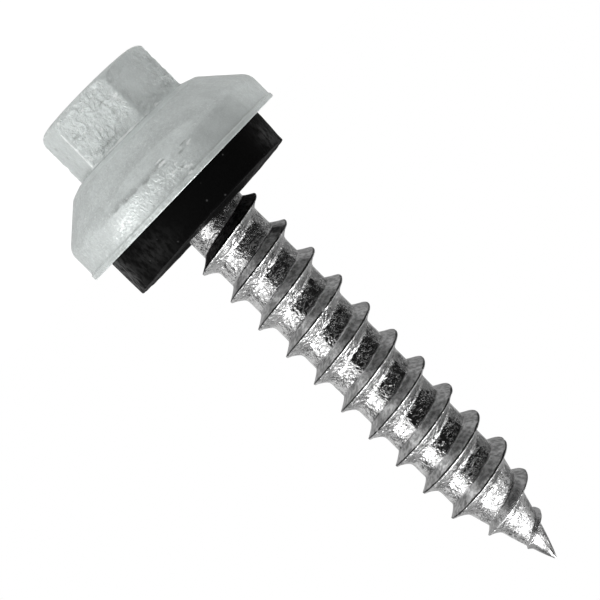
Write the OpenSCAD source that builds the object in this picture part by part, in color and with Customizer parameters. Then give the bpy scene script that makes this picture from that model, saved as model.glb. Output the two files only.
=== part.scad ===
// Roofing screw with a hex washer head, a domed metal washer and a rubber seal.
// It stands on the flat top of its hex head: the origin is the middle of that flat,
// +Z runs along the screw to its point. All sizes are in millimetres.

/* [Hex head] */
// Width across the flats, a nominal 1/4 inch hex
hex_af = 6.2; // [5.5:0.05:8]
// Height of the hex from its crown to the flange
hex_height = 3.02; // [2:0.02:5]
// Diameter of the flat in the middle of the crown
crown_flat_d = 5.6; // [4:0.1:6]
// Fall of the rounded crown from that flat to the hex corners
crown_drop = 0.58; // [0.2:0.02:1.2]

/* [Washer flange] */
// Diameter of the flange that is forged under the hex
flange_d = 8.7; // [8.4:0.02:10]
// Thickness of the flange at its outer edge
flange_edge = 0.05; // [0.05:0.01:0.4]
// Fall of the flange's top from the hex to that edge
flange_fall = 0.25; // [0.1:0.01:0.6]

/* [Dome washer] */
// Diameter of the washer's skirt
skirt_d = 12.56; // [11.5:0.02:15]
// Thickness of the pressed metal
wall = 1.05; // [0.6:0.05:1.2]
// Slope of the dome, measured from level
dome_slope = 41.8; // [30:0.2:50]
// Outside radius of the bend between dome and skirt
shoulder_r = 1.05; // [0.8:0.05:1.4]
// Height of the straight skirt, with its lip
skirt_height = 1.24; // [0.8:0.02:2]
// Height of the lip around the rim
lip_height = 0.26; // [0.1:0.02:0.5]
// How far the lip stands out from the skirt
lip_proud = 0.06; // [0.02:0.01:0.2]
// Diameter of the hole, which passes over the thread
washer_hole_d = 5.3; // [5.1:0.1:5.8]

/* [Sealing washer] */
// How far the rubber stands out below the washer's rim
seal_proud = 2; // [1:0.02:2.5]
// Bevel around the rubber's lower edge
seal_bevel = 0.08; // [0.05:0.01:0.4]
// Gap between the rubber and the metal that it is bonded to
bond_gap = 0.02; // [0.01:0.01:0.05]
// Radial clearance between the rubber's hole and the screw's neck
neck_clearance = 0.05; // [0.02:0.01:0.1]

/* [Thread] */
// Largest diameter of the thread, a number 10 screw
thread_d = 4.84; // [4.4:0.02:5]
// Diameter of the core between the threads
root_d = 3.52; // [3.2:0.02:3.8]
// Axial distance between neighbouring crests, 13 to the inch
pitch = 1.954; // [1.6:0.002:2.4]
// Width of the thread at its foot
thread_base = 0.94; // [0.6:0.02:1.2]
// Width of the flat on the crest
crest_flat = 0.06; // [0.02:0.01:0.15]
// Height of the hollow flank half-way up its slope, as a share of the thread's height
flank_share = 0.43; // [0.3:0.01:0.5]
// Length along the screw over which the thread rises to full height under the seal
thread_rise = 0.86; // [0.4:0.02:1.5]
// Length along the screw over which the thread dies away on the point
thread_fall = 3.6; // [2:0.1:5]
// Direction in which the thread begins, from +X
thread_turn = 44; // [0:1:359]
// Facets in one turn of the thread
facets = 36; // [24:4:44]

/* [Shank and point] */
// Length from the rubber's face to the tip, a nominal 1 inch screw
reach = 24.6; // [20:0.02:32]
// Length of the tapered point
point_length = 5.76; // [4.5:0.02:8]
// Length of the tip that carries no thread
bare_tip = 0.76; // [0.4:0.02:1.5]
// Bulge of the point: 1 is a straight cone and less is fuller
point_power = 0.82; // [0.7:0.01:1]
// How much larger the neck's radius is than the threaded core's
neck_step = 0.05; // [0.03:0.01:0.1]

/* [Hidden] */
$fn = 96;
hex_sides = 6;
hex_corner_r = hex_af / 2 / cos(180 / hex_sides);
crown_steps = 8;
shoulder_steps = 8;

// Levels along the screw, from the crown's flat to the tip
seat_z = hex_height + flange_fall + flange_edge;
skirt_r = skirt_d / 2;
seat_r = flange_d / 2 + bond_gap;
bend_r = skirt_r - shoulder_r;
bend_start = [bend_r + shoulder_r * sin(dome_slope), seat_z
              + (bend_r + shoulder_r * sin(dome_slope) - seat_r) * tan(dome_slope)];
bend_z = bend_start.y + shoulder_r * cos(dome_slope);
rim_z = bend_z + skirt_height;
seal_face_z = rim_z + seal_proud;
tip_z = seal_face_z + reach;

// Inside of the dome washer, one wall from its outside
cup_r = skirt_r - wall;
cup_top_z = seat_z + wall;
cup_bend_z = bend_z + (shoulder_r - wall) * cos(dome_slope);
cup_top_r = cup_r - (cup_bend_z - cup_top_z) / tan(dome_slope);

// Screw thread
root_r = root_d / 2;
neck_r = root_r + neck_step;
thread_height = thread_d / 2 - root_r;
thread_start_z = seal_face_z + neck_clearance;
point_start_z = tip_z - point_length;
steps = floor((tip_z - bare_tip - thread_start_z) / pitch * facets);
thread_end_z = thread_start_z + steps * pitch / facets;
core_overlap = 0.4;
half_base = thread_base / 2;
half_crest = crest_flat / 2;
half_flank = (half_base + half_crest) / 2;
profile = [
    [-half_base, 0], [-half_flank, flank_share], [-half_crest, 1],
    [half_crest, 1], [half_flank, flank_share], [half_base, 0]
];
rows = len(profile);

// Radius of the core at a level: straight, then drawn in to the tip
function core_r(z) = z <= point_start_z ? root_r
    : root_r * pow(max(0, tip_z - z) / point_length, point_power);

// Share of its full size that the thread has at a level
function thread_share(z) = max(0, min(1, (z - thread_start_z) / thread_rise,
                                      (thread_end_z - z) / thread_fall));

// Point of the thread's surface after so many steps, in one row of the profile
function thread_point(step, row) =
    let (crest_z = thread_start_z + step * pitch / facets,
         share = thread_share(crest_z),
         z = crest_z + profile[row].x * share,
         r = core_r(z) + thread_height * profile[row].y * share,
         angle = thread_turn + step * 360 / facets)
    [r * cos(angle), r * sin(angle), z];

// Core and thread as one skin: rows of facets wind along the screw, and each turn's last
// row meets the next turn's first. The rows begin and end in one point each.
module threaded_core() {
    first = 0;
    last = 1 + (steps - 1) * rows;
    ring = last + 1;
    apex = ring + facets;
    points = concat(
        [thread_point(0, 0)],
        [for (i = [1 : steps - 1], m = [0 : rows - 1]) thread_point(i, m)],
        [thread_point(steps, 0)],
        [for (i = [0 : facets - 1])
            let (angle = thread_turn + i * 360 / facets)
            [root_r * cos(angle), root_r * sin(angle), seal_face_z - core_overlap]],
        [[0, 0, tip_z]]
    );
    function at(i, m) = i == 0 ? first : i == steps ? last : 1 + (i - 1) * rows + m;
    function patch(a, b, c, d) = concat(b == c || a == b ? [] : [[a, b, c]],
                                        c == d || a == d ? [] : [[a, c, d]]);
    thread_faces = [
        for (i = [0 : steps - 1], m = [0 : rows - 2])
            each patch(at(i, m), at(i, m + 1), at(i + 1, m + 1), at(i + 1, m))
    ];
    land_faces = [
        for (i = [0 : steps - facets - 1])
            each patch(at(i, rows - 1), at(i + facets, 0),
                       at(i + facets + 1, 0), at(i + 1, rows - 1))
    ];
    start_faces = [
        for (i = [0 : facets - 2])
            each patch(ring + i, at(i, 0), at(i + 1, 0), ring + i + 1)
    ];
    start_seam = [[ring + facets - 1, at(facets - 1, 0), at(facets, 0), first, ring]];
    start_end = [[for (i = [0 : facets - 1]) ring + i]];
    tip_seam = patch(at(steps - facets, rows - 1), last, apex, at(steps - facets + 1, rows - 1));
    tip_faces = [
        for (i = [steps - facets + 1 : steps - 1]) [at(i, rows - 1), apex, at(i + 1, rows - 1)]
    ];
    polyhedron(points, concat(thread_faces, land_faces, start_faces, start_seam, start_end,
                              tip_seam, tip_faces));
}

// Hex with a rounded crown
module crowned_hex() {
    crown = [
        for (i = [0 : crown_steps])
            let (angle = i * 90 / crown_steps)
            [crown_flat_d / 2 + (hex_corner_r - crown_flat_d / 2) * sin(angle),
             crown_drop * (1 - cos(angle))]
    ];
    intersection() {
        cylinder(h = hex_height, r = hex_corner_r, $fn = hex_sides);
        rotate_extrude()
            polygon(concat([[0, 0]], crown, [[hex_corner_r, hex_height], [0, hex_height]]));
    }
}

// Flange and neck under the hex
module flanged_neck() {
    rotate_extrude()
        polygon([
            [0, hex_height], [hex_corner_r, hex_height],
            [flange_d / 2, hex_height + flange_fall], [flange_d / 2, seat_z],
            [neck_r, seat_z], [neck_r, seal_face_z], [0, seal_face_z]
        ]);
}

// One forged and rolled steel screw
module hex_screw() {
    color([0.72, 0.74, 0.75])
        union() {
            crowned_hex();
            flanged_neck();
            threaded_core();
        }
}

// Pressed metal washer: flat seat, sloping dome, skirt and lipped rim
module dome_washer() {
    shoulder = [
        for (i = [0 : shoulder_steps])
            let (angle = dome_slope + i * (90 - dome_slope) / shoulder_steps)
            [bend_r + shoulder_r * sin(angle), bend_z - shoulder_r * cos(angle)]
    ];
    color([0.68, 0.71, 0.7])
        rotate_extrude()
            polygon(concat(
                [[washer_hole_d / 2, seat_z], [seat_r, seat_z]],
                shoulder,
                [[skirt_r, rim_z - lip_height - lip_proud],
                 [skirt_r + lip_proud, rim_z - lip_height], [skirt_r + lip_proud, rim_z],
                 [cup_r, rim_z], [cup_r, cup_bend_z],
                 [cup_top_r, cup_top_z], [washer_hole_d / 2, cup_top_z]]
            ));
}

// Rubber ring that fills the washer and stands out below its rim
module sealing_washer() {
    seal_r = cup_r - bond_gap;
    seal_hole_r = neck_r + neck_clearance;
    seal_top_z = cup_top_z + bond_gap;
    seal_top_r = cup_top_r - bond_gap;
    seal_shoulder_z = cup_bend_z + bond_gap;
    color([0.07, 0.07, 0.07])
        rotate_extrude()
            polygon([
                [seal_hole_r, seal_top_z], [seal_top_r, seal_top_z], [seal_r, seal_shoulder_z],
                [seal_r, seal_face_z - seal_bevel], [seal_r - seal_bevel, seal_face_z],
                [seal_hole_r, seal_face_z]
            ]);
}

hex_screw();
dome_washer();
sealing_washer();
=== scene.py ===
"""Looks of a roofing screw with a hex head, a domed metal washer and a rubber seal.

The screw stands on the flat of its crown and +Z runs to its point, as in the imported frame.
Shapes are whole numpy arrays in millimetres, and their meshes are in metres.
"""
import math

import bpy
import numpy as np
from mathutils import Matrix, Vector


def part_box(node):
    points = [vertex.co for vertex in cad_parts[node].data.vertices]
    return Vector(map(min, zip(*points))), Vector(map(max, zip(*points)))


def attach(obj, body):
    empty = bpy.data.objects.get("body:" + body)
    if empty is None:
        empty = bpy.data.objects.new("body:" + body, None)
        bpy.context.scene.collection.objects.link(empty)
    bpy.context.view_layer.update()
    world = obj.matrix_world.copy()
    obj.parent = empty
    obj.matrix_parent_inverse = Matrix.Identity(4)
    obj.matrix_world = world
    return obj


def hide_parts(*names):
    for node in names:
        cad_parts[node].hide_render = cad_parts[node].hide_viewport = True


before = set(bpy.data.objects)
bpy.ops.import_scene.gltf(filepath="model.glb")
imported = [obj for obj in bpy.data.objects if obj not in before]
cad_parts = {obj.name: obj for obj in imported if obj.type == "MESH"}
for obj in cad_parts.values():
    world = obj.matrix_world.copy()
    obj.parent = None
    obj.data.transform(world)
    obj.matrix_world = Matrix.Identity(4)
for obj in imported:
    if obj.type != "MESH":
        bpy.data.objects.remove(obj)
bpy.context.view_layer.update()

MM = 0.001
TURN = 2 * math.pi

# Camera of the photograph: where it stands round the screw, how far it looks up, and its lens
VIEW_AZIMUTH = -103.0
VIEW_RISE = 4.8
VIEW_ROLL = 0.12
VIEW_DISTANCE = 95.0
AIM_HEIGHT = 14.74
AIM_ACROSS = 0.1
LENS = 114.0
SENSOR = 36.0

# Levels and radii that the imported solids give
screw_high = np.array(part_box("hex_screw")[1]) / MM
washer_low, washer_high = (np.array(corner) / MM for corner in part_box("dome_washer"))
seal_low, seal_high = (np.array(corner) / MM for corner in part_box("sealing_washer"))
tip_z, flange_r = screw_high[2], screw_high[0]
seat_z, rim_z, lip_r = washer_low[2], washer_high[2], washer_high[0]
seal_top_z, seal_face_z, seal_r = seal_low[2], seal_high[2], seal_high[0]

# Hex head and flange
HEX_HALF = 3.1
HEX_CORNER_R = HEX_HALF / math.cos(math.pi / 6)
HEX_HEIGHT = 3.02
CORNER_POWER = 70
CORNER_CROWDING = 0.72
CROWN_MIDDLE_R = 0.15
CROWN_FLAT_R = 2.8
CROWN_MARGIN = 0.1
CROWN_DROP = 0.58
CROWN_EDGE = 0.07
FOOT_FILLET = 0.08
FLANGE_STEP = 0.02
BRIM_WIDTH, BRIM_FALL = 0.1, 0.075
BRIM_CORNER_WIDTH, BRIM_CORNER_FALL = 0.04, 0.05
EVEN_FALL = 0.06
WALL_WAVE, WALL_DENT = 0.012, 0.03

# Neck, thread and point
NECK_R = 1.81
NECK_LENGTH = 2.4
NECK_FILLET = 0.1
NECK_CLEARANCE = 0.05
ROOT_R = 1.76
ROOT_STEP = 0.03
THREAD_HEIGHT = 0.66
PITCH = 1.954
HALF_BASE = 0.47
HALF_CREST = 0.03
HALF_WAY_HEIGHT = 0.43
FLANK_POWER = math.log(HALF_WAY_HEIGHT) / math.log(0.5)
HEAD_FOOT, HEAD_FOOT_SOFTNESS = 1.08, 0.006
TIP_FOOT, TIP_FOOT_SOFTNESS = 1.45, 0.14
CREST_BEVEL = 0.965
THREAD_TURN = 44 / 360
THREAD_RISE = 0.86
THREAD_FALL = 3.6
LEAST_WIDTH = 0.35
RUN_IN_LAG, RUN_IN_MOST = 0.08, 1.5
RUN_IN_END, RUN_IN_TURNS = 0.964, 0.5
NICKS = 40
BARE_TIP = 0.77
POINT_LENGTH = 5.76
POINT_POWER = 0.82
ROLLED_WAVE = 0.007
thread_start_z = seal_face_z + NECK_CLEARANCE
thread_end_z = tip_z - BARE_TIP
SCREW_COLUMNS = 216

# Where the zinc is smoother: a side of the core, in degrees right of the camera's, and the neck
CALM_SIDE, CALM_HALF = 31, 13
CALM_NECK, CALM_NECK_END = 0.2, 0.9
# Distances from the tip over which the dents grow shallower and the zinc is painted darker as shade
SHALLOW_START, SHALLOW_END = 6.5, 5
TIP_SHADE_START, TIP_SHADE_END = 1.6, 0.6

# Dome washer and seal
HOLE_R = 2.65
WALL = 1.05
BOND_GAP = 0.02
LIP_PROUD = 0.06
LIP_HEIGHT, LIP_FOOT = 0.25, 0.32
SHOULDER_CUT = 0.42
CUP_BEND = 0.47
SEAT_R = flange_r + BOND_GAP
SKIRT_R = lip_r - LIP_PROUD
DOME_RISE = math.tan(math.radians(41.8))
CORNER_Z = seat_z + (SKIRT_R - SEAT_R) * DOME_RISE
CUP_R = SKIRT_R - WALL
CUP_BEND_Z = CORNER_Z + CUP_BEND
CUP_TOP_R = CUP_R - (CUP_BEND_Z - seat_z - WALL) / DOME_RISE
SEAL_HOLE_R = NECK_R + NECK_CLEARANCE
LEVEL_FACE_R, LEANING_FACE_R = 2.6, 3.8
SEAL_TUCK = 0.06
WASHER_COLUMNS = 320
WASHER_SPACING, SEAL_SPACING = 0.055, 0.085

# Slopes that the photograph shows on the rim and on the rubber's free face: rise, and where to
RIM_SLOPE, RIM_SIDE = 0.019, -90
SEAL_SLOPE, SEAL_SIDE = 0.07, -140

# Painted reflection on the dome, a dark arch and a light lens: distance of the arch's edge from the seat,
# its sag at a turn, half width of all
ARCH_EDGE, ARCH_SAG, ARCH_TURN, ARCH_HALF = 1.045, 0.245, 24, 31
# Fold under the shoulder, whose mask also paints a shadow under it: distance of its sharp edge from the
# dome's corner, and height of its waves
FOLD_EDGE, FOLD_WAVE = 0.24, 0.06
# Painted shade on the skirt, with a painted light strip beyond it: distance of its edge from that corner,
# its middle, and its sag at a turn
SKIRT_SHADE_EDGE, SKIRT_SHADE_SIDE, SKIRT_SHADE_SAG, SKIRT_SHADE_TURN = 0.02, 40, 0.2, 27
# Smooth stretch of the skirt
SMOOTH_SIDE, SMOOTH_HALF = 36, 26

# Sides that the photograph doesn't show, in degrees right of the camera's
UNSEEN_START, UNSEEN_END = 75, 285


def scattered(seed, count, low, high, half_turn, half_level, strength):
    """So many spots at drawn places on the sides that the photograph doesn't show, in the form of the
    lists below."""
    draw = np.random.default_rng(seed)
    return [(draw.uniform(UNSEEN_START, UNSEEN_END), draw.uniform(low, high),
             half_turn * draw.uniform(0.5, 1.5), half_level * draw.uniform(0.5, 1.5),
             strength * draw.uniform(0.4, 1)) for _ in range(count)]


# Marks as (degrees right of the camera's side, level, half turn, half level, strength)
HEX_SCUFFS = [
    (14, 1.55, 3.5, 0.55, 0.4), (12, 1.3, 3, 0.25, 0.2), (-17, 0.68, 5, 0.05, 0.5),
    (-5, 0.93, 7, 0.05, 0.55), (7.5, 0.5, 1.6, 0.07, 0.6), (-31, 1.15, 2, 0.12, 0.5),
    (-28, 1.5, 2, 0.12, 0.45), (-16, 1.95, 2, 0.12, 0.5), (-36, 1.85, 2, 0.2, 0.4),
    (5, 2.0, 3, 0.15, 0.4), (-39, 2.6, 2.4, 0.35, 0.5), (-38, 0.27, 2, 0.08, 0.6),
    (-26, 0.17, 4, 0.05, 0.5), (36, 2.88, 5, 0.04, 0.5)] + scattered(61, 26, 0.3, 2.7, 3.5, 0.2, 0.55)
HEX_STAINS = [
    (-36, 1.35, 4, 0.1, 0.6), (-33, 1.6, 3, 0.25, 0.35), (-1, 1.08, 6, 0.045, 0.7),
    (5, 1.75, 4, 0.25, 0.45), (2, 2.2, 4, 0.12, 0.4), (-15, 2.62, 20, 0.12, 0.5),
    (9, 2.3, 3, 0.3, 0.35), (-22, 2.3, 5, 0.15, 0.3), (-31, 2.45, 4, 0.2, 0.35),
    (20, 1.7, 1.5, 0.6, 0.35), (-77, 1.65, 4, 0.12, 0.5), (-72, 2.3, 2.5, 0.3, 0.45),
    (-66, 2.0, 2.5, 0.15, 0.4), (66, 2.4, 5, 0.3, 0.4),
    (72, 1.2, 3, 0.4, 0.4)] + scattered(62, 22, 0.3, 2.7, 4, 0.2, 0.5)
HEX_MOTTLING = [
    (-13, 1.5, 26, 3, 0.5), (-14, 1.4, 9, 0.5, -0.5), (47, 0.7, 20, 0.8, -0.4),
    (55, 2.2, 16, 0.7, 0.3), (-66, 1.6, 14, 1.6, 0.4), (74, 1.5, 10, 1.4, 0.4)]
# Painted highlight along the hex's foot, strongest on the face towards the camera
HEX_FOOT_HIGHLIGHT = [(-10, HEX_HEIGHT, 24, 1, 1.3)]
CROWN_NICKS = [
    (-58, 0, 32, 9, 0.11), (-29, 0, 3, 9, 0.05), (-13, 0, 4, 9, 0.06), (-37, 0, 2, 9, 0.04),
    (120, 0, 5, 9, 0.06), (200, 0, 4, 9, 0.05)]
SHOULDER_CHIPS = [
    (0, 5.0, 2.4, 0.05, 1.5), (0.5, 5.2, 2.6, 0.085, 1.6), (16.2, 5.32, 2, 0.05, 1.1),
    (14.2, 5.39, 1.5, 0.05, 1.1), (11.5, 5.27, 1.8, 0.05, 0.9),
    (-30, 5.15, 2, 0.07, 0.5)] + scattered(63, 9, 5.02, 5.35, 2.2, 0.08, 0.9)
# Scuffs on the skirt; the broad one 30 degrees left of the camera's side is a painted highlight on the
# skirt's bright patch
SKIRT_SCUFFS_AND_HIGHLIGHT = [
    (2, 5.85, 2.5, 0.05, 0.9), (4.5, 5.65, 1.5, 0.06, 0.8), (0, 5.98, 2, 0.04, 0.8),
    (7, 6.1, 1.2, 0.1, 0.8), (6.5, 6.42, 1.3, 0.07, 1.2), (9, 6.2, 1.0, 0.08, 0.8),
    (-3, 6.25, 3, 0.06, 0.6), (-30, 5.85, 8, 0.5, 0.55),
    (-52, 6.2, 16, 0.4, 0.3)] + scattered(64, 22, 5.3, 6.5, 3, 0.14, 0.55)
# Stains on the skirt; the long one along the lip left of the camera's side is painted shade that darkens
# the lit lip
SKIRT_STAINS_AND_SHADE = [
    (-32, 6.62, 26, 0.12, 0.45), (5.5, 5.97, 1.6, 0.08, 0.5), (8, 6.34, 1.6, 0.08, 0.5),
    (1, 6.12, 2, 0.07, 0.4), (10, 5.42, 2, 0.06, 0.7), (0.5, 5.1, 2.8, 0.04, 0.8),
    (13, 5.2, 3, 0.035, 0.7), (0.5, 5.32, 2.6, 0.035, 0.7)]
SEAL_SCUFFS = [
    (-76, 7.6, 11, 1.3, 1.7), (-40, 7.9, 16, 1.0, 0.2),
    (66, 8.0, 10, 0.9, 0.55)] + scattered(65, 12, 7, 8.6, 9, 0.6, 0.35)
# Wear of the six corners, from +X on; the strong wear of the last one, left of the camera's side, is also a
# painted edge highlight
CORNER_WEAR_AND_HIGHLIGHT = np.array([0.5, 0.35, 0.55, 0.45, 0.0, 1.2])


def facing(turn):
    """Angle about the axis of a place that is so many degrees to the right of the camera's side."""
    return math.radians(VIEW_AZIMUTH - turn)


def degrees_right(angle):
    """Degrees to the right of the camera's side, from -180 to 180, of an angle about the axis."""
    return np.degrees(np.angle(np.exp(1j * (facing(0) - angle))))


def toward_camera():
    """Level unit vector from the axis to the camera, and the one to the photograph's right."""
    out = np.array([math.cos(facing(0)), math.sin(facing(0)), 0.0])
    return out, np.array([out[1], -out[0], 0.0])


def unevenness(angle, height, seed, waves=14, round_waves=9, per_mm=2.4):
    """Sum of sine waves that run round and along a piece, about -1 to 1. Each has a whole number of
    waves round the piece, so that the sum closes, and its slope, place and pace are drawn by seed."""
    draw = np.random.default_rng(seed)
    total = np.zeros(np.broadcast(angle, height).shape)
    for _ in range(waves):
        total += np.sin(draw.integers(1, round_waves) * angle + draw.normal(0, per_mm) * height
                        + draw.uniform(0, TURN))
    return total / math.sqrt(2 * waves)


def marks(angle, height, spots):
    """Sum of soft oval spots: strength times exp of minus the squared distance from the middle, in
    half widths."""
    total = np.zeros(np.broadcast(angle, height).shape)
    for turn, level, half_turn, half_level, strength in spots:
        away = np.degrees(np.angle(np.exp(1j * (angle - facing(turn)))))
        total += strength * np.exp(-(away / half_turn) ** 2 - ((height - level) / half_level) ** 2)
    return total


def line(value, middle, half, power=2):
    """Soft line: exp of minus a power of the distance from the middle, in half widths. A power of 4
    makes it a band with a flat top."""
    return np.exp(-((value - middle) / half) ** power)


def step(value, start, end):
    """Straight ramp from 0 at start to 1 at end."""
    return np.clip((value - start) / (end - start), 0, 1)


def parabola(start, corner, end, share):
    """Points of a parabola from start to end that the corner pulls out, at shares from 0 to 1."""
    return (1 - share) ** 2 * start + 2 * share * (1 - share) * corner + share ** 2 * end


def soft_corners(corners, steps=5):
    """Closed outline from (r, z, cut) corners: each corner becomes a parabola between the points that
    lie one cut before and after it, and a corner with no cut stays sharp."""
    spots = np.array([corner[:2] for corner in corners], float)
    cuts = np.array([corner[2] for corner in corners], float)[:, None]
    before, after = np.roll(spots, 1, 0) - spots, np.roll(spots, -1, 0) - spots
    start = spots + before / np.linalg.norm(before, axis=1)[:, None] * cuts
    end = spots + after / np.linalg.norm(after, axis=1)[:, None] * cuts
    share = np.linspace(0, 1, steps + 1)[None, :, None]
    arcs = parabola(start[:, None], spots[:, None], end[:, None], share)
    return np.concatenate([arc if cut > 0 else arc[:1] for arc, cut in zip(arcs, cuts[:, 0])])


def refined(outline, spacing):
    """The closed outline with points added along each stretch that is longer than the spacing."""
    ends = np.roll(outline, -1, 0)
    counts = np.ceil(np.linalg.norm(ends - outline, axis=1) / spacing).astype(int)
    return np.concatenate([
        start + (end - start) * (np.arange(count) / count)[:, None]
        for start, end, count in zip(outline, ends, counts)])


def placed(radius, angle, level):
    """Points at these radii, angles about the axis and levels, as one list."""
    return np.stack([radius * np.cos(angle), radius * np.sin(angle), level], -1).reshape(-1, 3)


def grid_faces(rows, columns, closed_rows=False):
    """Quads between neighbouring rows of a grid that closes round its columns, facing outwards where
    rows run along +Z. With closed_rows the last row meets the first."""
    row = np.arange(rows if closed_rows else rows - 1)[:, None]
    column = np.arange(columns)[None, :]
    below, above = row * columns, (row + 1) % rows * columns
    beside = (column + 1) % columns
    quads = np.stack([below + column, below + beside, above + beside, above + column], -1)
    return quads.reshape(-1, 4)


def new_piece(name, points, faces, fields, finishes, body, node, finish_index=None):
    """An object at the origin from points in millimetres, faces as index lists, named fields with one
    value for each point, and its finishes. It rides on the body and stands for the CAD node."""
    mesh = bpy.data.meshes.new(name)
    mesh.from_pydata((points * MM).tolist(), [], faces)
    mesh.polygons.foreach_set("use_smooth", np.ones(len(mesh.polygons), bool))
    for label, values in fields.items():
        layer = mesh.attributes.new(label, "FLOAT", "POINT")
        layer.data.foreach_set("value", np.ravel(values).astype(np.float32))
    for finish in finishes:
        mesh.materials.append(finish)
    if finish_index is not None:
        mesh.polygons.foreach_set("material_index", finish_index.astype(np.int32))
    mesh.validate()
    mesh.update()
    piece = bpy.data.objects.new(name, mesh)
    bpy.context.scene.collection.objects.link(piece)
    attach(piece, body)
    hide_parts(node)


def hex_radius(angle):
    """Rounded hexagon: the power mean of the three slabs between its flats, with its corners on
    multiples of 60 degrees."""
    flats = np.radians([30, 90, 150])[:, None]
    return np.sum(np.abs(np.cos(angle - flats) / HEX_HALF) ** CORNER_POWER, 0) ** (-1 / CORNER_POWER)


def bend(start, corner, end, steps):
    """Rows of a parabola from start to end that the corner pulls out, without its two ends."""
    return parabola(start, corner, end, np.linspace(0, 1, steps + 2)[1:-1, None, None])


def straight(start, end, steps, last=True):
    """Rows of a straight stretch from start to end."""
    share = np.linspace(0, 1, steps + 1)[: None if last else -1, None, None]
    return start + (end - start) * share


def pair(radius, level):
    """Radius and level of one row of the screw as an array of columns by two."""
    row = [np.broadcast_to(radius, SCREW_COLUMNS), np.broadcast_to(level, SCREW_COLUMNS)]
    return np.stack(row, -1).astype(float)


def head_rows():
    """Rows of radius and level from the crown's middle over the hex and the flange to the neck, their
    angles, and the level of the crown's edge. The crown is an elliptic arc from its flat, cut off by
    the hexagon, so its edge falls towards the corners. The columns crowd at the hexagon's corners and
    are even again on the flange, whose edge is bevelled so that it runs on into the dome."""
    even = np.arange(SCREW_COLUMNS) / SCREW_COLUMNS * TURN
    crowded = even - CORNER_CROWDING * np.sin(6 * even) / 6
    hexagon = hex_radius(crowded)
    swing = np.arcsin((hexagon - CROWN_FLAT_R) / (HEX_CORNER_R - CROWN_FLAT_R))
    edge_z = CROWN_DROP * (1 - np.cos(swing))
    reach = np.hypot(hexagon - CROWN_FLAT_R, edge_z)
    shares = np.linspace(0, 1, 11)[:, None] * (1 - CROWN_EDGE / reach)
    arc = np.stack([CROWN_FLAT_R + (HEX_CORNER_R - CROWN_FLAT_R) * np.sin(swing * shares),
                    CROWN_DROP * (1 - np.cos(swing * shares))], -1)
    edge_z = edge_z + marks(crowded, 0 * crowded, CROWN_NICKS)
    edge = pair(hexagon, edge_z)
    wall_top = pair(hexagon, edge_z + CROWN_EDGE)
    wall_foot = pair(hexagon, HEX_HEIGHT - FOOT_FILLET)
    foot = pair(hexagon + FOOT_FILLET, HEX_HEIGHT)
    slope_top = pair(HEX_CORNER_R + FOOT_FILLET, HEX_HEIGHT + FLANGE_STEP)
    brim = pair(flange_r - BRIM_WIDTH, seat_z - BRIM_FALL)
    brim_corner = pair(flange_r - BRIM_CORNER_WIDTH, seat_z - BRIM_CORNER_FALL)
    brim_end = pair(flange_r, seat_z)
    neck_top = pair(NECK_R + NECK_FILLET, seat_z)
    neck = pair(NECK_R, seat_z + NECK_FILLET)
    rows = np.concatenate([
        straight(pair(CROWN_MIDDLE_R, 0), pair(CROWN_FLAT_R - CROWN_MARGIN, 0), 7), arc,
        bend(arc[-1], edge, wall_top, 4), straight(wall_top, wall_foot, 34),
        bend(wall_foot, pair(hexagon, HEX_HEIGHT), foot, 3), straight(foot, slope_top, 3, last=False),
        straight(slope_top, brim, 8), bend(brim, brim_corner, brim_end, 2),
        straight(brim_end, neck_top, 6), bend(neck_top, pair(NECK_R, seat_z), neck, 2),
        straight(neck, pair(NECK_R, seat_z + NECK_LENGTH), 3)])
    spread = np.clip((rows[..., 0] - hexagon) / (flange_r - HEX_CORNER_R), 0, 1)
    spread = np.where(rows[..., 1] > seat_z - EVEN_FALL, 1.0, spread)
    return rows, crowded + (even - crowded) * spread, edge_z


def core_radius(level):
    """Radius of the core: the neck, a small step down to the root, then the point, which is drawn in
    as a power of the distance from the tip."""
    straight_r = np.interp(level, [seal_face_z - ROOT_STEP, seal_face_z + ROOT_STEP], [NECK_R, ROOT_R])
    drawn_in = np.clip((tip_z - level) / POINT_LENGTH, 0, 1) ** POINT_POWER
    return np.minimum(straight_r, np.where(level > tip_z - POINT_LENGTH, ROOT_R * drawn_in, NECK_R))


def crest_level(turns):
    """Level of the crest after so many turns, and its pace as a share of the pitch. Past the thread's
    end each turn covers the same share of what is left up to the tip."""
    end_turns = (thread_end_z - thread_start_z) / PITCH + THREAD_TURN
    past = np.maximum(turns - end_turns, 0)
    pace = np.exp(-past * PITCH / BARE_TIP)
    level = thread_start_z + PITCH * (np.minimum(turns, end_turns) - THREAD_TURN)
    return level + BARE_TIP * (1 - pace), pace


def thread_share(level):
    """Share of its full height that the thread has where its crest is at that level: a straight rise
    under the seal and a straight fall on the point."""
    rising, falling = (level - thread_start_z) / THREAD_RISE, (thread_end_z - level) / THREAD_FALL
    return np.clip(np.minimum(rising, falling), 0, 1)


def run_in(turns):
    """How far the thread's start lies behind the even pitch, falling to nothing within its first turn."""
    return RUN_IN_LAG * np.clip((RUN_IN_END - turns) / RUN_IN_TURNS, 0, RUN_IN_MOST)


def nicked_crest(turns):
    """Share of its height that the crest keeps: 1 less a few narrow dents at drawn places."""
    draw = np.random.default_rng(31)
    places, widths = draw.uniform(0.5, 11, NICKS), draw.uniform(0.004, 0.014, NICKS)
    depths = draw.uniform(0.02, 0.1, NICKS)
    kept = np.ones_like(turns)
    for place, width, depth in zip(places, widths, depths):
        kept -= depth * line(turns, place, width)
    return kept


def flank(foot, softness):
    """Distances from the crest's middle, in half bases, and heights of one flank from its foot to the
    crest. The height is a power of the distance from the foot, so the flank is slightly hollow, and
    the foot runs out softly on the land."""
    away = np.array([foot, (foot + 1) / 2, 1, 0.86, 0.67, 0.46, 0.28, 0.15, HALF_CREST / HALF_BASE])
    up_flank = (1 - away) / (1 - away[-1])
    soft = up_flank + np.sqrt(up_flank ** 2 + softness)
    return away, ((soft - soft[0]) / (soft[-1] - soft[0])) ** FLANK_POWER


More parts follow.
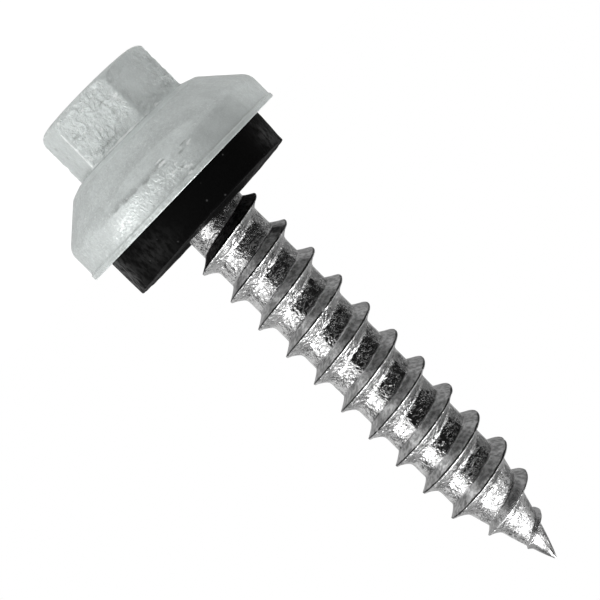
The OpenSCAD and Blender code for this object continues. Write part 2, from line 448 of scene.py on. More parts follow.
def thread_rows():
    """Radius, level, crest height, head-side share, tip-side share and foot line of rows that wind round
    the screw, as turns by rows by columns. In each turn the rows climb the crisp flank on the head's
    side, cross the crest, go down the softer flank on the tip's side and over the land to the next turn."""
    head_away, head_height = flank(HEAD_FOOT, HEAD_FOOT_SOFTNESS)
    tip_away, tip_height = flank(TIP_FOOT, TIP_FOOT_SOFTNESS)
    tip_height[-2] = CREST_BEVEL
    offset = HALF_BASE * np.concatenate([-head_away, [0], tip_away[::-1]])[:, None]
    height = np.concatenate([head_height, [1], tip_height[::-1]])[:, None]
    land = np.array([0.33, 0.67])[:, None]
    turns = np.arange(-1, 14)[:, None, None] + np.arange(SCREW_COLUMNS) / SCREW_COLUMNS
    level, pace = crest_level(turns)
    next_level, next_pace = crest_level(turns + 1)
    share = thread_share(level)
    width = np.maximum(share, LEAST_WIDTH) * pace
    next_width = np.maximum(thread_share(next_level), LEAST_WIDTH) * next_pace
    level, next_level = level - run_in(turns), next_level - run_in(turns + 1)
    foot, next_foot = level + offset[-1] * width, next_level + offset[0] * next_width
    row_z = np.concatenate([level + offset * width, foot + (next_foot - foot) * land], 1)
    bare_land = 0 * land * share
    on_flank = np.minimum(height / 0.1, 1) * share
    crest = np.concatenate([height * share * nicked_crest(turns), bare_land], 1)
    head_side = np.concatenate([(offset < 0) * on_flank, bare_land], 1)
    tip_side = np.concatenate([(offset > 0) * on_flank, bare_land], 1)
    foot_line = np.concatenate([line(offset, -HALF_BASE, 0.05) * share, bare_land], 1)
    return core_radius(row_z) + THREAD_HEIGHT * crest, row_z, crest, head_side, tip_side, foot_line


def head_fields(radius, level, angle, edge_z):
    """Wear, grime and mottling on the head: bright corners, crown edge and foot line, and a dark line on
    the flange round the hex. The bright foot line is a painted highlight, the strong wear on one corner is
    partly one too, and the dark line is painted shade in the crease at the hex's foot. The mottling is
    strongest on the face towards the camera."""
    on_hex = (level < HEX_HEIGHT - FOOT_FILLET) & (radius > CROWN_FLAT_R)
    corner_away = np.abs(np.angle(np.exp(6j * angle))) / 6 * radius
    # The corners' wear; on the corner left of the camera's side it is also a painted edge highlight
    corner_wear_and_highlight = CORNER_WEAR_AND_HIGHLIGHT[np.round(angle / TURN * 6).astype(int) % 6]
    patchy = np.clip(0.5 + unevenness(angle, level, 6, round_waves=30), 0, 1)
    wear = corner_wear_and_highlight * line(corner_away, 0, 0.06) * step(level, edge_z + 0.05, edge_z + 0.4)
    wear = np.maximum(wear, 0.5 * patchy * line(level, edge_z + 0.03, 0.06)) * on_hex
    wear += 1.4 * marks(angle, level, HEX_SCUFFS) * on_hex
    # Painted highlight: a bright line along the hex's foot, strongest towards the camera
    foot_line = line(level, HEX_HEIGHT - FOOT_FILLET, 0.06) * (radius < HEX_CORNER_R + 0.02)
    wear += foot_line * np.maximum(0.55 * patchy, marks(angle, level, HEX_FOOT_HIGHLIGHT))
    # Painted shade: a dark line on the flange in the crease round the hex's foot
    grime = 0.6 * line(level, HEX_HEIGHT, 0.03) * (radius > HEX_HALF + 0.05)
    grime += marks(angle, level, HEX_STAINS) * on_hex
    grime += 0.5 * line(radius, CROWN_FLAT_R + 0.02, 0.06) * (level < edge_z)
    mottle = 0.5 + 0.25 * unevenness(angle, level, 7) + marks(angle, level, HEX_MOTTLING)
    mottle = np.where(radius > HEX_CORNER_R + FOOT_FILLET, 0.4, mottle)
    return wear, grime, np.clip(mottle, 0.1, 1.2)


def screw_faces(head_count, wound_count, turn_rows):
    """Faces of the screw's skin, and the first point of each: closed rows over the head, wound rows whose
    ends meet those one turn on, a joint between the two, and fans at the crown's middle and the tip. One
    many-sided panel, inside the seal, closes the joint where the winding begins."""
    wound = np.arange(wound_count * SCREW_COLUMNS).reshape(wound_count, SCREW_COLUMNS)
    index = head_count * SCREW_COLUMNS + wound
    inner = np.stack([index[:-1, :-1], index[:-1, 1:], index[1:, 1:], index[1:, :-1]], -1)
    low, high = index[:-turn_rows - 1, -1], index[turn_rows:-1, 0]
    seam = np.stack([low, high, high + SCREW_COLUMNS, low + SCREW_COLUMNS], -1)
    first_ring = np.arange(SCREW_COLUMNS)
    ring = (head_count - 1) * SCREW_COLUMNS + first_ring
    joint = np.stack([ring[:-1], ring[1:], index[0, 1:], index[0, :-1]], -1)
    panel = np.array([ring[-1], ring[0], *index[: turn_rows + 1, 0], index[0, -1]])
    pole, apex = index[-1, -1] + 1, index[-1, -1] + 2
    crown_fan = np.stack([np.full(SCREW_COLUMNS, pole), np.roll(first_ring, -1), first_ring], -1)
    rim = np.concatenate([index[-1], index[-turn_rows - 1:-1, -1][::-1]])
    tip_fan = np.stack([np.full(len(rim), apex), rim, np.roll(rim, -1)], -1)
    quads = np.concatenate([grid_faces(head_count, SCREW_COLUMNS), inner.reshape(-1, 4), seam, joint])
    fans = np.concatenate([crown_fan, tip_fan])
    faces = quads.tolist() + [panel.tolist()] + fans.tolist()
    return faces, np.concatenate([quads[:, 0], panel[:1], fans[:, 0]])


def build_screw(finishes):
    """The screw as one closed skin: the rows of the head, slightly dented on the hex, then the rows that
    wind along the thread, slightly wavy from rolling, and one point each for the crown's middle and the
    tip. The head has the first finish and all below the flange the second."""
    head, head_angle, edge_z = head_rows()
    wound = thread_rows()
    turn_rows = wound[0].shape[1]
    radius, level, crest, head_side, tip_side, foot_line = (
        rows.reshape(-1, SCREW_COLUMNS) for rows in wound)
    head_r, head_z = head[..., 0], head[..., 1]
    even = np.broadcast_to(np.arange(SCREW_COLUMNS) / SCREW_COLUMNS * TURN, radius.shape)
    on_wall = (head_z < HEX_HEIGHT - FOOT_FILLET) & (head_r > CROWN_FLAT_R)
    dents = np.abs(unevenness(head_angle, head_z, 5, waves=24, round_waves=40, per_mm=9))
    dented = WALL_WAVE * unevenness(head_angle, head_z, 4) - WALL_DENT * dents
    rolled = (level > seal_face_z) & (level < tip_z - 2)
    radius = radius + ROLLED_WAVE * rolled * unevenness(even, level, 9, round_waves=14, per_mm=5)
    wear, grime, mottle = head_fields(head_r, head_z, head_angle, edge_z)
    on_neck = step(level, seal_face_z + CALM_NECK_END, seal_face_z + CALM_NECK)
    calm = np.maximum(on_neck, line(degrees_right(even), CALM_SIDE, CALM_HALF, 4))
    points = np.concatenate([placed(head_r + on_wall * dented, head_angle, head_z),
                             placed(radius, even, level), [[0, 0, 0], [0, 0, tip_z]]])
    no_head, no_thread, no_ends = np.zeros(head_r.shape), np.zeros(radius.shape), [0, 0]
    fields = {
        "wear": np.append(np.concatenate([wear, no_thread]), no_ends),
        "grime": np.append(np.concatenate([grime, no_thread]), no_ends),
        "mottle": np.append(np.concatenate([mottle, no_thread]), [0.5, 0]),
        "crest": np.append(np.concatenate([no_head, crest]), no_ends),
        "head_side": np.append(np.concatenate([no_head, head_side]), no_ends),
        "tip_side": np.append(np.concatenate([no_head, tip_side]), no_ends),
        "foot_line": np.append(np.concatenate([no_head, foot_line]), no_ends),
        "calm": np.append(np.concatenate([no_head, calm]), no_ends)}
    faces, first_points = screw_faces(len(head), len(radius), turn_rows)
    new_piece("forged_screw", points, faces, fields, finishes, "screw", "hex_screw",
              finish_index=points[first_points, 2] > seat_z - 0.01)


def lathe(outline, columns):
    """Radius, level and angle of a closed outline turned round the axis, as rows by columns."""
    angle = np.arange(columns) / columns * TURN
    shape = (len(outline), columns)
    return (np.broadcast_to(outline[:, :1], shape), np.broadcast_to(outline[:, 1:], shape),
            np.broadcast_to(angle, shape))


def lean(radius, angle, slope, side):
    """Rise of a plane that slopes up to a side, in degrees right of the camera's."""
    return slope * radius * np.cos(angle - facing(side))


def painted_dome_reflection(angle, level):
    """Painted reflection on the dome towards the camera, in the shade field: a darker arch, whose lower
    edge bends down to both sides as a parabola, and a lighter lens under it."""
    right = degrees_right(angle)
    edge = seat_z + ARCH_EDGE + ARCH_SAG * (right / ARCH_TURN) ** 2
    dark = step(level, edge - 0.6, edge - 0.25) * step(level, edge + 0.05, edge - 0.06)
    light = step(level, edge - 0.02, edge + 0.07) * step(level, CORNER_Z + 0.05, CORNER_Z - 0.2)
    return (0.06 * light - 0.1 * dark) * line(right, 0, ARCH_HALF, 4)


def shadowed_fold(angle, level):
    """Wavy dent under the shoulder, to the left of the camera's side: soft above and sharp below, with a
    sum of two sine waves along it. The same mask dents the shoulder slightly and darkens the paint as a
    painted shadow under it."""
    right = degrees_right(angle)
    wave = 0.6 * np.sin(57 * angle) + 0.5 * np.sin(34 * angle + 1)
    low = CORNER_Z + FOLD_EDGE + FOLD_WAVE * wave - 0.08 * step(right, -14, -34)
    side = step(right, -38, -26) * step(right, 0, -6) * (0.75 + 0.25 * wave)
    return step(level, low - 0.3 - 0.05 * wave, low - 0.08) * step(level, low + 0.03, low - 0.03) * side


def painted_skirt_shade(angle, level):
    """Painted shade on the skirt, to the right of the camera's side, with a sharp upper edge that follows
    the shoulder as a parabola, and a painted light strip beyond it."""
    right = degrees_right(angle)
    edge = CORNER_Z + SKIRT_SHADE_EDGE + SKIRT_SHADE_SAG * ((right - SKIRT_SHADE_SIDE) / SKIRT_SHADE_TURN) ** 2
    dark = step(right, 10, 18) * step(right, 55, 47)
    light = step(right, 49, 57) * step(right, 100, 85)
    return step(level, edge - 0.03, edge + 0.03) * (0.08 * light - 0.075 * dark)


def build_washer(finish):
    """The pressed washer: seat, sloping dome, round shoulder, skirt and lipped rim, one wall thick. The
    rim is pressed slightly out of level, and small dents lie along the shoulder."""
    outline = refined(soft_corners([
        (HOLE_R, seat_z, 0.08), (SEAT_R, seat_z, 0.0), (SKIRT_R, CORNER_Z, SHOULDER_CUT),
        (SKIRT_R, rim_z - LIP_FOOT, 0.02), (lip_r, rim_z - LIP_HEIGHT, 0.03), (lip_r, rim_z, 0.05),
        (CUP_R, rim_z, 0.05), (CUP_R, CUP_BEND_Z, 0.02),
        (CUP_TOP_R, seat_z + WALL, 0.1), (HOLE_R, seat_z + WALL, 0.08)]), WASHER_SPACING)
    radius, level, angle = lathe(outline, WASHER_COLUMNS)
    right = degrees_right(angle)
    outside = (radius > SEAT_R) & ((radius > CUP_R + 0.3) | (level < CORNER_Z - 0.4))
    low_down = np.clip((level - CORNER_Z) / (rim_z - CORNER_Z), 0, 1)
    chips = marks(angle, level, SHOULDER_CHIPS)
    fold_and_shadow = shadowed_fold(angle, level)
    inside_lip = (radius < SKIRT_R + 0.02) * step(radius, SEAT_R, SEAT_R + 0.2)
    wave = np.abs(unevenness(angle, level, 12)) * inside_lip
    new_r = radius - outside * (0.02 * wave + 0.04 * chips + 0.02 * fold_and_shadow)
    new_z = level + lean(radius, angle, RIM_SLOPE, RIM_SIDE) * low_down ** 2
    # Painted shadow: a dark line above the lip, weaker to the left and the right
    lip_shadow = line(level, rim_z - 0.3, 0.03) * outside
    rim_line = line(level, rim_z - 0.04, 0.1) * (radius > lip_r - 0.1)
    on_skirt = step(level, CORNER_Z - 0.05, CORNER_Z + 0.1)
    smooth_side = line(right, SMOOTH_SIDE, SMOOTH_HALF, 4)
    mottle = 0.6 + 0.45 * on_skirt - 0.9 * smooth_side * on_skirt
    mottle = mottle + 0.35 * (1 - on_skirt) * step(right, 5, -30) + 0.2 * unevenness(angle, level, 18)
    # Wear holds scuffs, chips and a painted highlight; grime holds stains, the painted shadow above the lip
    # and painted shade on the lip's left; shade holds the dome's painted reflection, painted shade and
    # light on the skirt and the painted shadow under the shoulder's dent
    fields = {
        "wear": np.maximum(0.03 * rim_line, 0.72 * chips) + marks(angle, level, SKIRT_SCUFFS_AND_HIGHLIGHT) * outside,
        "grime": (lip_shadow * (0.32 - 0.2 * step(right, 0, -40) - 0.16 * step(right, 15, 40))
                  + marks(angle, level, SKIRT_STAINS_AND_SHADE)) * outside,
        "shade": (painted_dome_reflection(angle, level) + painted_skirt_shade(angle, level) - 0.42 * fold_and_shadow) * outside,
        "mottle": np.clip(mottle, 0.08, 1.2)}
    faces = grid_faces(len(outline), WASHER_COLUMNS, closed_rows=True).tolist()
    new_piece("domed_washer", placed(new_r, angle, new_z), faces, fields, [finish],
              "washer", "dome_washer")


def build_seal(finish):
    """The rubber ring: it fills the washer's cup, and its free face leans and has a slightly ragged edge.
    Round the hole the face stays level, clear of the thread."""
    outline = refined(soft_corners([
        (SEAL_HOLE_R, seal_top_z, 0.05), (CUP_TOP_R - BOND_GAP, seal_top_z, 0.05),
        (seal_r, CUP_BEND_Z + BOND_GAP, 0.1), (seal_r, seal_face_z, 0.06),
        (SEAL_HOLE_R, seal_face_z, 0.06)]), SEAL_SPACING)
    radius, level, angle = lathe(outline, WASHER_COLUMNS)
    free = step(level, rim_z + 0.2, seal_face_z - 0.3)
    out = step(radius, LEVEL_FACE_R, LEANING_FACE_R)
    ragged = unevenness(angle, level, 21, waves=20, round_waves=36)
    ragged = 0.015 * ragged * step(radius, seal_r - 0.4, seal_r - 0.05)
    new_z = level + free * (out * lean(radius, angle, SEAL_SLOPE, SEAL_SIDE) + ragged)
    tucked_in = SEAL_TUCK * (0.5 - 0.5 * np.cos(angle - facing(-90)))
    tucked_in = tucked_in + 0.012 * (1 - unevenness(angle, level, 22))
    new_r = radius - free * step(radius, 4.6, 5.0) * tucked_in
    on_face = step(radius, seal_r - 0.02, seal_r - 0.12) * (level > rim_z + 1)
    edge_line = line(level, seal_face_z - 0.05, 0.06)
    fields = {"dust": 0.005 * on_face + 0.01 * edge_line + marks(angle, level, SEAL_SCUFFS)}
    faces = grid_faces(len(outline), WASHER_COLUMNS, closed_rows=True).tolist()
    new_piece("rubber_seal", placed(new_r, angle, new_z), faces, fields, [finish],
              "washer", "sealing_washer")


def add_node(tree, kind, inputs=None, **settings):
    """A shader node with its settings and inputs: an output is linked, anything else is set."""
    made = tree.nodes.new("ShaderNode" + kind)
    for name, value in settings.items():
        setattr(made, name, value)
    for name, value in (inputs or {}).items():
        if isinstance(value, bpy.types.NodeSocket):
            tree.links.new(value, made.inputs[name])
        else:
            made.inputs[name].default_value = value
    return made


MIX_FACTOR, MIX_FIRST, MIX_SECOND, MIX_RESULT = 0, 6, 7, 2


def mix_colours(tree, factor, first, second):
    """Second colour over the first one, as far as the factor says."""
    return add_node(tree, "Mix", {MIX_FACTOR: factor, MIX_FIRST: first, MIX_SECOND: second},
                    data_type="RGBA").outputs[MIX_RESULT]


def grey(value):
    """A plain grey of that brightness."""
    return (value, value, value, 1)


def maths(tree, operation, first, second=0.0, clamp=False):
    """One operation on two values, kept within 0 and 1 if clamped."""
    return add_node(tree, "Math", {0: first, 1: second}, operation=operation, use_clamp=clamp).outputs[0]


def times(tree, first, second):
    """Product of two values."""
    return maths(tree, "MULTIPLY", first, second)


def plus(tree, first, second):
    """Sum of two values."""
    return maths(tree, "ADD", first, second)


def left_over(tree, share):
    """What a share leaves of 1, and at least 0."""
    return maths(tree, "SUBTRACT", 1.0, share, clamp=True)


def ramp(tree, value, start, end, low=0.0, high=1.0):
    """Smooth step from low at start to high at end."""
    limits = {"From Min": start, "From Max": end, "To Min": low, "To Max": high}
    return add_node(tree, "MapRange", {"Value": value, **limits},
                    interpolation_type="SMOOTHSTEP").outputs[0]


def noise(tree, vector, scale, detail=4.0, roughness=0.55, distortion=0.0):
    """Cloudy value of about 0.3 to 0.7, with so many clouds to the millimetre."""
    return add_node(tree, "TexNoise", {
        "Vector": vector, "Scale": scale, "Detail": detail, "Roughness": roughness,
        "Distortion": distortion}).outputs["Fac"]


def around_zero(tree, value, size):
    """A cloudy value moved to lie about zero, times a size."""
    return times(tree, maths(tree, "SUBTRACT", value, 0.5), size)


def stretched(tree, vector, scale):
    """Coordinates scaled along each axis: a scale below 1 draws a pattern out."""
    return add_node(tree, "Mapping", {"Vector": vector, "Scale": scale}).outputs[0]


def new_group(name, inputs, outputs):
    """An empty shader group with named sockets, its input sockets by name and its output node."""
    tree = bpy.data.node_groups.new(name, "ShaderNodeTree")
    for socket, (kind, value) in inputs.items():
        made = tree.interface.new_socket(socket, in_out="INPUT", socket_type="NodeSocket" + kind)
        if value is not None:
            made.default_value = value
    for socket, kind in outputs.items():
        tree.interface.new_socket(socket, in_out="OUTPUT", socket_type="NodeSocket" + kind)
    source = tree.nodes.new("NodeGroupInput")
    return tree, source.outputs, tree.nodes.new("NodeGroupOutput")


def speck_group():
    """Specks: small round cells, of which only some are picked, so that they lie far apart."""
    tree, source, result = new_group(
        "specks",
        {"Vector": ("Vector", None), "Scale": ("Float", 3.0), "Size": ("Float", 0.2),
         "Picked": ("Float", 0.2)},
        {"Mask": "Float"})
    cells = add_node(tree, "TexVoronoi", {"Vector": source["Vector"], "Scale": source["Scale"]})
    drawn = add_node(tree, "SeparateColor", {"Color": cells.outputs["Color"]}).outputs[0]
    picked = maths(tree, "LESS_THAN", drawn, source["Picked"])
    near = maths(tree, "SUBTRACT", source["Size"], cells.outputs["Distance"])
    tree.links.new(times(tree, ramp(tree, near, 0.0, 0.12), picked), result.inputs["Mask"])
    return tree


def speckled(tree, specks, vector, scale, size, picked):
    """Mask of specks: so many cells to the millimetre, their size and the share that is picked."""
    values = {"Vector": vector, "Scale": scale, "Size": size, "Picked": picked}
    return add_node(tree, "Group", values, node_tree=specks).outputs[0]


def paint_group():
    """Thin pale coat on metal: cloudy patches, small pale and dark flecks where it is mottled, bare bright
    metal where the wear field says, and grime in the corners where the grime field says. The wear field
    also carries painted highlights, the grime field painted shade, and the shade field painted light and
    shade in the tone. The noise frays the edges of the bright and dark places, and lumps of about the
    flecks' size stand up from the coat."""
    tree, source, result = new_group(
        "mottled_paint",
        {"Vector": ("Vector", None), "Wear": ("Float", 0.0), "Grime": ("Float", 0.0),
         "Shade": ("Float", 0.0), "Mottle": ("Float", 0.5), "Paint": ("Color", (0.66, 0.7, 0.69, 1)),
         "Bare_And_Highlight": ("Color", (0.9, 0.93, 0.92, 1)), "Dirt_And_Shade": ("Color", (0.4, 0.43, 0.42, 1)),
         "Flecks": ("Float", 4.0)},
        {"Color": "Color", "Roughness": "Float", "Height": "Float"})
    vector, mottle, flecks = source["Vector"], source["Mottle"], source["Flecks"]
    cloud = noise(tree, vector, 0.9, 5.0, 0.6, 0.4)
    fleck = noise(tree, vector, flecks, 6.0, 0.7, 0.3)
    crumb = noise(tree, vector, times(tree, flecks, 1.9), 3.0, 0.6, 0.8)
    grain = noise(tree, vector, 14.0, 3.0, 0.6)

    tone = plus(tree, around_zero(tree, cloud, 0.42), around_zero(tree, grain, 0.24))
    patch = plus(tree, around_zero(tree, fleck, 0.5), around_zero(tree, crumb, 0.4))
    tone = plus(tree, tone, times(tree, patch, mottle))
    # Painted light and shade: the shade field lightens and darkens the tone
    tone = plus(tree, tone, source["Shade"])
    colour = add_node(tree, "VectorMath", {0: source["Paint"], "Scale": plus(tree, tone, 1.0)},
                      operation="SCALE").outputs[0]
    frayed = around_zero(tree, fleck, 1.6)
    uneven = maths(tree, "SUBTRACT", 1.0, times(tree, frayed, 1.5))
    grime_and_shade_mask = ramp(tree, times(tree, source["Grime"], uneven), 0.1, 0.65)
    wear_and_highlight_mask = ramp(tree, plus(tree, source["Wear"], frayed), 0.35, 0.75)
    bare_flecks = times(tree, ramp(tree, crumb, 0.58, 0.7, 0.0, 0.6), mottle)
    wear_and_highlight_mask = maths(tree, "MAXIMUM", wear_and_highlight_mask, bare_flecks, clamp=True)
    colour = mix_colours(tree, grime_and_shade_mask, colour, source["Dirt_And_Shade"])
    tree.links.new(mix_colours(tree, wear_and_highlight_mask, colour, source["Bare_And_Highlight"]), result.inputs["Color"])

    lumps = noise(tree, vector, times(tree, flecks, 0.85), 2.5, 0.5, 0.9)
    tree.links.new(ramp(tree, lumps, 0.25, 0.75, 0.285, 0.34), result.inputs["Roughness"])
    lumps = times(tree, lumps, ramp(tree, cloud, 0.4, 0.6, 0.5, 1.0))
    relief = times(tree, plus(tree, lumps, times(tree, crumb, 0.2)), mottle)
    relief = plus(tree, relief, times(tree, grain, 0.1))
    relief = maths(tree, "SUBTRACT", relief, times(tree, wear_and_highlight_mask, 0.1))
    tree.links.new(relief, result.inputs["Height"])
    return tree


def new_material(name):
    """A node material: its tree, its shader and its coordinates in millimetres."""
    material = bpy.data.materials.new(name)
    material.use_nodes = True
    tree = material.node_tree
    place = add_node(tree, "TexCoord").outputs["Object"]
    vector = add_node(tree, "VectorMath", {0: place, "Scale": 1 / MM}, operation="SCALE").outputs[0]
    return material, tree, tree.nodes["Principled BSDF"], vector


def field(tree, name):
    """Value of one of the piece's own fields."""
    return add_node(tree, "Attribute", attribute_name=name).outputs["Fac"]


def set_bump(tree, shader, height, depth):
    """Bump of so many millimetres for a height of 1."""
    bump = add_node(tree, "Bump", {"Height": height, "Distance": depth * MM, "Strength": 1.0})
    tree.links.new(bump.outputs["Normal"], shader.inputs["Normal"])


def paint_finish(name, group, fields, flecks, metal, depth):
    """Mottled pale coat that takes its marks from the piece's fields, with some of the metal's shine."""
    material, tree, shader, vector = new_material(name)
    marks_in = {socket: field(tree, socket.lower()) for socket in fields}
    coat = add_node(tree, "Group", {"Vector": vector, "Flecks": flecks, **marks_in}, node_tree=group)
    tree.links.new(coat.outputs["Color"], shader.inputs["Base Color"])
    tree.links.new(coat.outputs["Roughness"], shader.inputs["Roughness"])
    shader.inputs["Specular IOR Level"].default_value = 0.6
    shader.inputs["Metallic"].default_value = metal
    set_bump(tree, shader, coat.outputs["Height"], depth)
    return material


def zinc_finish(specks):
    """Bright zinc on rolled steel: small dents that break up what it mirrors, fine dark cracks and pits,
    grey bloom in patches, duller flanks on the side of the head, and painted shade: dark lines along the
    crest and the foot of these flanks. The neck and one side of the core are calmer, with shallow dents,
    and the tip is painted darker as shade."""
    material, tree, shader, vector = new_material("rolled_zinc")
    height = add_node(tree, "SeparateXYZ", {"Vector": vector}).outputs["Z"]
    dull, tip_side = field(tree, "head_side"), field(tree, "tip_side")
    bright = left_over(tree, dull)
    streaks = noise(tree, stretched(tree, vector, (1.0, 1.0, 0.2)), 4.5, 4.0, 0.6)
    bloom = ramp(tree, noise(tree, vector, 1.7, 6.0, 0.7), 0.46, 0.72)
    patchy = ramp(tree, noise(tree, vector, 1.3, 3.0, 0.6), 0.36, 0.62, 0.15, 1.0)

    winding = maths(tree, "ABSOLUTE", around_zero(tree, noise(tree, vector, 4.2, 3.0, 0.6, 0.9), 1.0))
    cracks = times(tree, ramp(tree, winding, 0.07, 0.02), patchy)
    pits = speckled(tree, specks, vector, 5.5, 0.32, 0.26)
    dark = times(tree, maths(tree, "MAXIMUM", cracks, pits), bright)
    uneven = around_zero(tree, noise(tree, vector, 2.6, 3.0, 0.6), 0.3)
    crest = ramp(tree, plus(tree, field(tree, "crest"), uneven), 0.88, 0.97)
    crest = times(tree, crest, left_over(tree, tip_side))
    foot = times(tree, times(tree, field(tree, "foot_line"), patchy), 0.8)

    colour = mix_colours(tree, bloom, grey(0.92), grey(0.72))
    streaked = mix_colours(tree, ramp(tree, streaks, 0.36, 0.64), grey(0.34), grey(0.76))
    colour = mix_colours(tree, dull, colour, streaked)
    colour = mix_colours(tree, times(tree, dark, 0.85), colour, grey(0.05))
    # Painted shade: near-black lines along the crest and the foot of the head-side flanks
    colour = mix_colours(tree, maths(tree, "MAXIMUM", crest, foot), colour, grey(0.05))
    # Painted shade: the zinc near the tip grows darker, so that the point mirrors less of the bright panels
    near_tip = ramp(tree, height, tip_z - TIP_SHADE_START, tip_z - TIP_SHADE_END)
    painted_tip_shade = mix_colours(tree, ramp(tree, streaks, 0.42, 0.56), grey(0.18), grey(0.5))
    tree.links.new(mix_colours(tree, near_tip, colour, painted_tip_shade), shader.inputs["Base Color"])

    flanks = times(tree, plus(tree, dull, tip_side), 0.24)
    rough = plus(tree, ramp(tree, bloom, 0.0, 1.0, 0.05, 0.14), flanks)
    tree.links.new(rough, shader.inputs["Roughness"])
    shader.inputs["Metallic"].default_value = 1.0

    ripple = noise(tree, vector, 2.0, 1.0, 0.5, 0.3)
    dent = noise(tree, vector, 4.0, 0.6, 0.5, 1.2)
    depth = plus(tree, bright, times(tree, tip_side, 1.2))
    depth = times(tree, depth, ramp(tree, height, tip_z - SHALLOW_START, tip_z - SHALLOW_END, 1.0, 0.6))
    calm = times(tree, field(tree, "calm"), ramp(tree, bloom, 0.0, 1.0, 0.95, 0.6))
    relief = plus(tree, times(tree, ripple, 0.4), times(tree, dent, depth))
    relief = times(tree, relief, left_over(tree, calm))
    set_bump(tree, shader, maths(tree, "SUBTRACT", relief, times(tree, dark, 0.1)), 0.039)
    return material


def rubber_finish(specks):
    """Black rubber: faint grain, scattered pale specks, and dust on its edge and scuffed places."""
    material, tree, shader, vector = new_material("black_rubber")
    grain = noise(tree, vector, 7.0, 5.0, 0.65)
    streaks = noise(tree, stretched(tree, vector, (2.2, 2.2, 1.2)), 2.0, 4.0, 0.6)
    dusty = times(tree, field(tree, "dust"), ramp(tree, streaks, 0.36, 0.64))
    dots = times(tree, speckled(tree, specks, vector, 2.6, 0.19, 0.32), 0.5)
    dusty = maths(tree, "MAXIMUM", dusty, dots, clamp=True)
    tree.links.new(mix_colours(tree, dusty, grey(0.0025), grey(0.075)), shader.inputs["Base Color"])
    tree.links.new(ramp(tree, grain, 0.3, 0.7, 0.5, 0.72), shader.inputs["Roughness"])
    shader.inputs["Specular IOR Level"].default_value = 0.02
    set_bump(tree, shader, grain, 0.014)
    return material


# Stretches of the horizon as (middle and half width in degrees right of the camera, softness, brightness):
# what bright metal mirrors in the studio and in the far floor, and what lights paint and rubber
STUDIO_MIRRORED = [
    (-135, 45, 10, 0.62), (-97, 6, 2, 0.03), (-57, 31, 4, 1.0), (33, 57, 3, 0.01), (85, 5, 2, 0.0),
    (162, 14, 6, 0.4)]
FLOOR_MIRRORED = [(-135, 45, 10, 0.36), (-57, 31, 4, 0.6), (33, 57, 3, 0.015)]
STUDIO_LIGHT = [
    (-125, 38, 12, 0.42), (-93, 4, 2, 0.1), (45, 46, 2, 0.1), (180, 16, 6, 1.2), (-60, 26, 4, 1.2),
    (-64, 12, 3, 4.0)]
# Panels over a stretch as (middle, half width, softness, rise where it begins and is full, brightness),
# where rise is the sine of the height and a half width past 180 goes all round
ALL_ROUND = (0, 200, 1)
HIGH_MIRRORED = [
    (*ALL_ROUND, 0.44, 0.56, 0.34), (5, 66, 12, 0.49, 0.57, 1.6), (5, 66, 12, 0.86, 0.92, 11.0)]
HIGH_LIGHT = [
    (125, 14, 6, 0.0, 0.15, 7.0), (-130, 45, 15, 0.15, 0.35, 1.2), (*ALL_ROUND, 0.46, 0.6, 0.25),
    (-3, 40, 8, 0.4, 0.52, 0.5), (*ALL_ROUND, 0.78, 0.9, 0.4)]


def window(tree, direction, middle, half, soft):
    """1 inside a stretch of the horizon and 0 outside, with soft edges: middle and half width in
    degrees."""
    turned = add_node(tree, "VectorRotate", {"Vector": direction, "Angle": -facing(middle)},
                      rotation_type="Z_AXIS")
    parts = add_node(tree, "SeparateXYZ", {"Vector": turned.outputs[0]}).outputs
    away = maths(tree, "ABSOLUTE", maths(tree, "ARCTAN2", parts[1], parts[0]))
    return ramp(tree, away, math.radians(half + soft), math.radians(half - soft))


def horizon(tree, direction, base, stretches):
    """Brightness all round the horizon: the base, and over it each stretch."""
    colour = grey(base)
    for middle, half, soft, brightness in stretches:
        colour = mix_colours(tree, window(tree, direction, middle, half, soft), colour, grey(brightness))
    return colour


def with_panels(tree, direction, rise, colour, panels):
    """The brightness with panels over it, each from its soft lower edge to the top of the sky."""
    for middle, half, soft, begins, full, brightness in panels:
        shown = times(tree, window(tree, direction, middle, half, soft), ramp(tree, rise, begins, full))
        colour = mix_colours(tree, shown, colour, grey(brightness))
    return colour


def build_floor():
    """A pale floor that glows: white to the camera, soft fill light from below, and dark in what the zinc
    mirrors, so that the screw stands out as in the photograph."""
    half = 1500.0
    points = np.array([[-half, -half, 0], [half, -half, 0], [half, half, 0], [-half, half, 0]])
    mesh = bpy.data.meshes.new("floor")
    mesh.from_pydata((points * MM).tolist(), [], [[0, 1, 2, 3]])
    material = bpy.data.materials.new("pale_floor")
    material.use_nodes = True
    tree = material.node_tree
    shader = tree.nodes["Principled BSDF"]
    shader.inputs["Base Color"].default_value = grey(0.06)
    shader.inputs["Roughness"].default_value = 1.0
    shader.inputs["Specular IOR Level"].default_value = 0.0
    shader.inputs["Emission Strength"].default_value = 1.0
    rays = add_node(tree, "LightPath").outputs
    place = add_node(tree, "TexCoord").outputs["Object"]
    distance = add_node(tree, "VectorMath", {0: place}, operation="LENGTH").outputs["Value"]
    glow = horizon(tree, place, 0.25, FLOOR_MIRRORED)
    glow = mix_colours(tree, ramp(tree, distance, 0.03, 0.015), glow, grey(0.34))
    glow = mix_colours(tree, rays["Is Diffuse Ray"], glow, grey(0.94))
    glow = mix_colours(tree, rays["Is Camera Ray"], glow, grey(0.97))
    tree.links.new(glow, shader.inputs["Emission Color"])
    mesh.materials.append(material)
    floor = bpy.data.objects.new("floor", mesh)
    bpy.context.scene.collection.objects.link(floor)


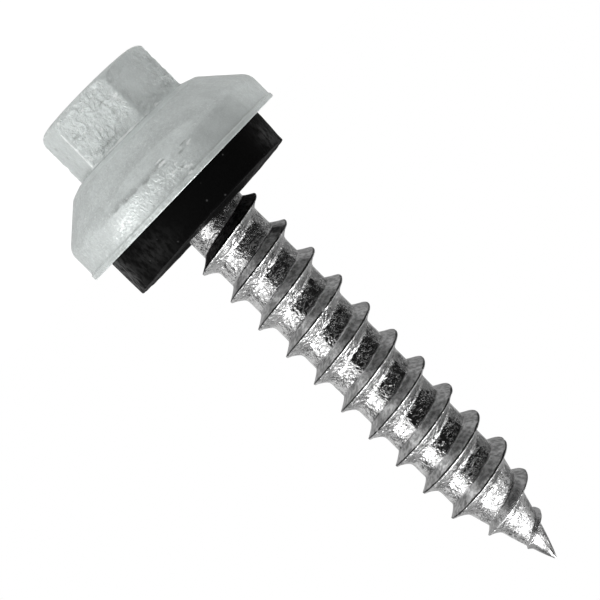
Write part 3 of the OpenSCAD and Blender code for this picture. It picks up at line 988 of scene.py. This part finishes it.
def build_studio():
    """Soft studio light from all round. What mirrors sees a large white panel to the left with a bright
    core, a dark one in front to the right and a bright one overhead. Paint and rubber are lit from the
    left, from behind, from the top and by a strip at the right. The camera itself sees plain white."""
    world = bpy.data.worlds.new("studio")
    bpy.context.scene.world = world
    world.use_nodes = True
    tree = world.node_tree
    direction = add_node(tree, "TexCoord").outputs["Generated"]
    rise = add_node(tree, "SeparateXYZ", {"Vector": direction}).outputs[2]
    mirrored = horizon(tree, direction, 0.16, STUDIO_MIRRORED)
    mirrored = with_panels(tree, direction, rise, mirrored, HIGH_MIRRORED)
    left_core = times(tree, window(tree, direction, -61, 13, 3), ramp(tree, rise, 0.2, 0.25))
    left_core = times(tree, left_core, ramp(tree, rise, 0.5, 0.44))
    mirrored = mix_colours(tree, left_core, mirrored, grey(7.0))
    colour = horizon(tree, direction, 0.2, STUDIO_LIGHT)
    colour = with_panels(tree, direction, rise, colour, HIGH_LIGHT)
    rays = add_node(tree, "LightPath").outputs
    colour = mix_colours(tree, rays["Is Diffuse Ray"], mirrored, colour)
    colour = mix_colours(tree, rays["Is Camera Ray"], colour, grey(1.0))
    background = tree.nodes["Background"].inputs
    tree.links.new(colour, background["Color"])
    tree.links.new(ramp(tree, rays["Is Diffuse Ray"], 0.0, 1.0, 1.0, 1.24), background["Strength"])


def build_camera():
    """The camera looks slightly up at the screw, turned so that the head is at the photograph's upper
    left."""
    out, across = toward_camera()
    rise, roll = math.radians(VIEW_RISE), math.radians(VIEW_ROLL)
    up_axis = np.array([0.0, 0.0, 1.0])
    back = out * math.cos(rise) - up_axis * math.sin(rise)
    along = up_axis * math.cos(rise) + out * math.sin(rise)
    spot = up_axis * AIM_HEIGHT + across * AIM_ACROSS + back * VIEW_DISTANCE
    along, across = (along * math.cos(roll) - across * math.sin(roll),
                     across * math.cos(roll) + along * math.sin(roll))
    right, up = (along + across) / math.sqrt(2), (across - along) / math.sqrt(2)
    camera = bpy.data.objects.new("camera", bpy.data.cameras.new("camera"))
    camera.data.lens = LENS
    camera.data.sensor_width = SENSOR
    camera.data.clip_start = 0.005
    camera.data.clip_end = 20.0
    place = np.eye(4)
    place[:3] = np.stack([right, up, back, spot * MM], -1)
    camera.matrix_world = Matrix(place.tolist())
    bpy.context.scene.collection.objects.link(camera)
    bpy.context.scene.camera = camera


build_camera()
specks = speck_group()
paint = paint_group()
head_paint = paint_finish("head_paint", paint, ["Wear", "Grime", "Mottle"],
                          flecks=3.0, metal=0.2, depth=0.2)
washer_paint = paint_finish("washer_paint", paint, ["Wear", "Grime", "Shade", "Mottle"],
                            flecks=4.2, metal=0.38, depth=0.055)
build_screw([head_paint, zinc_finish(specks)])
build_washer(washer_paint)
build_seal(rubber_finish(specks))
build_floor()
build_studio()
bpy.context.scene.view_settings.view_transform = "Standard"
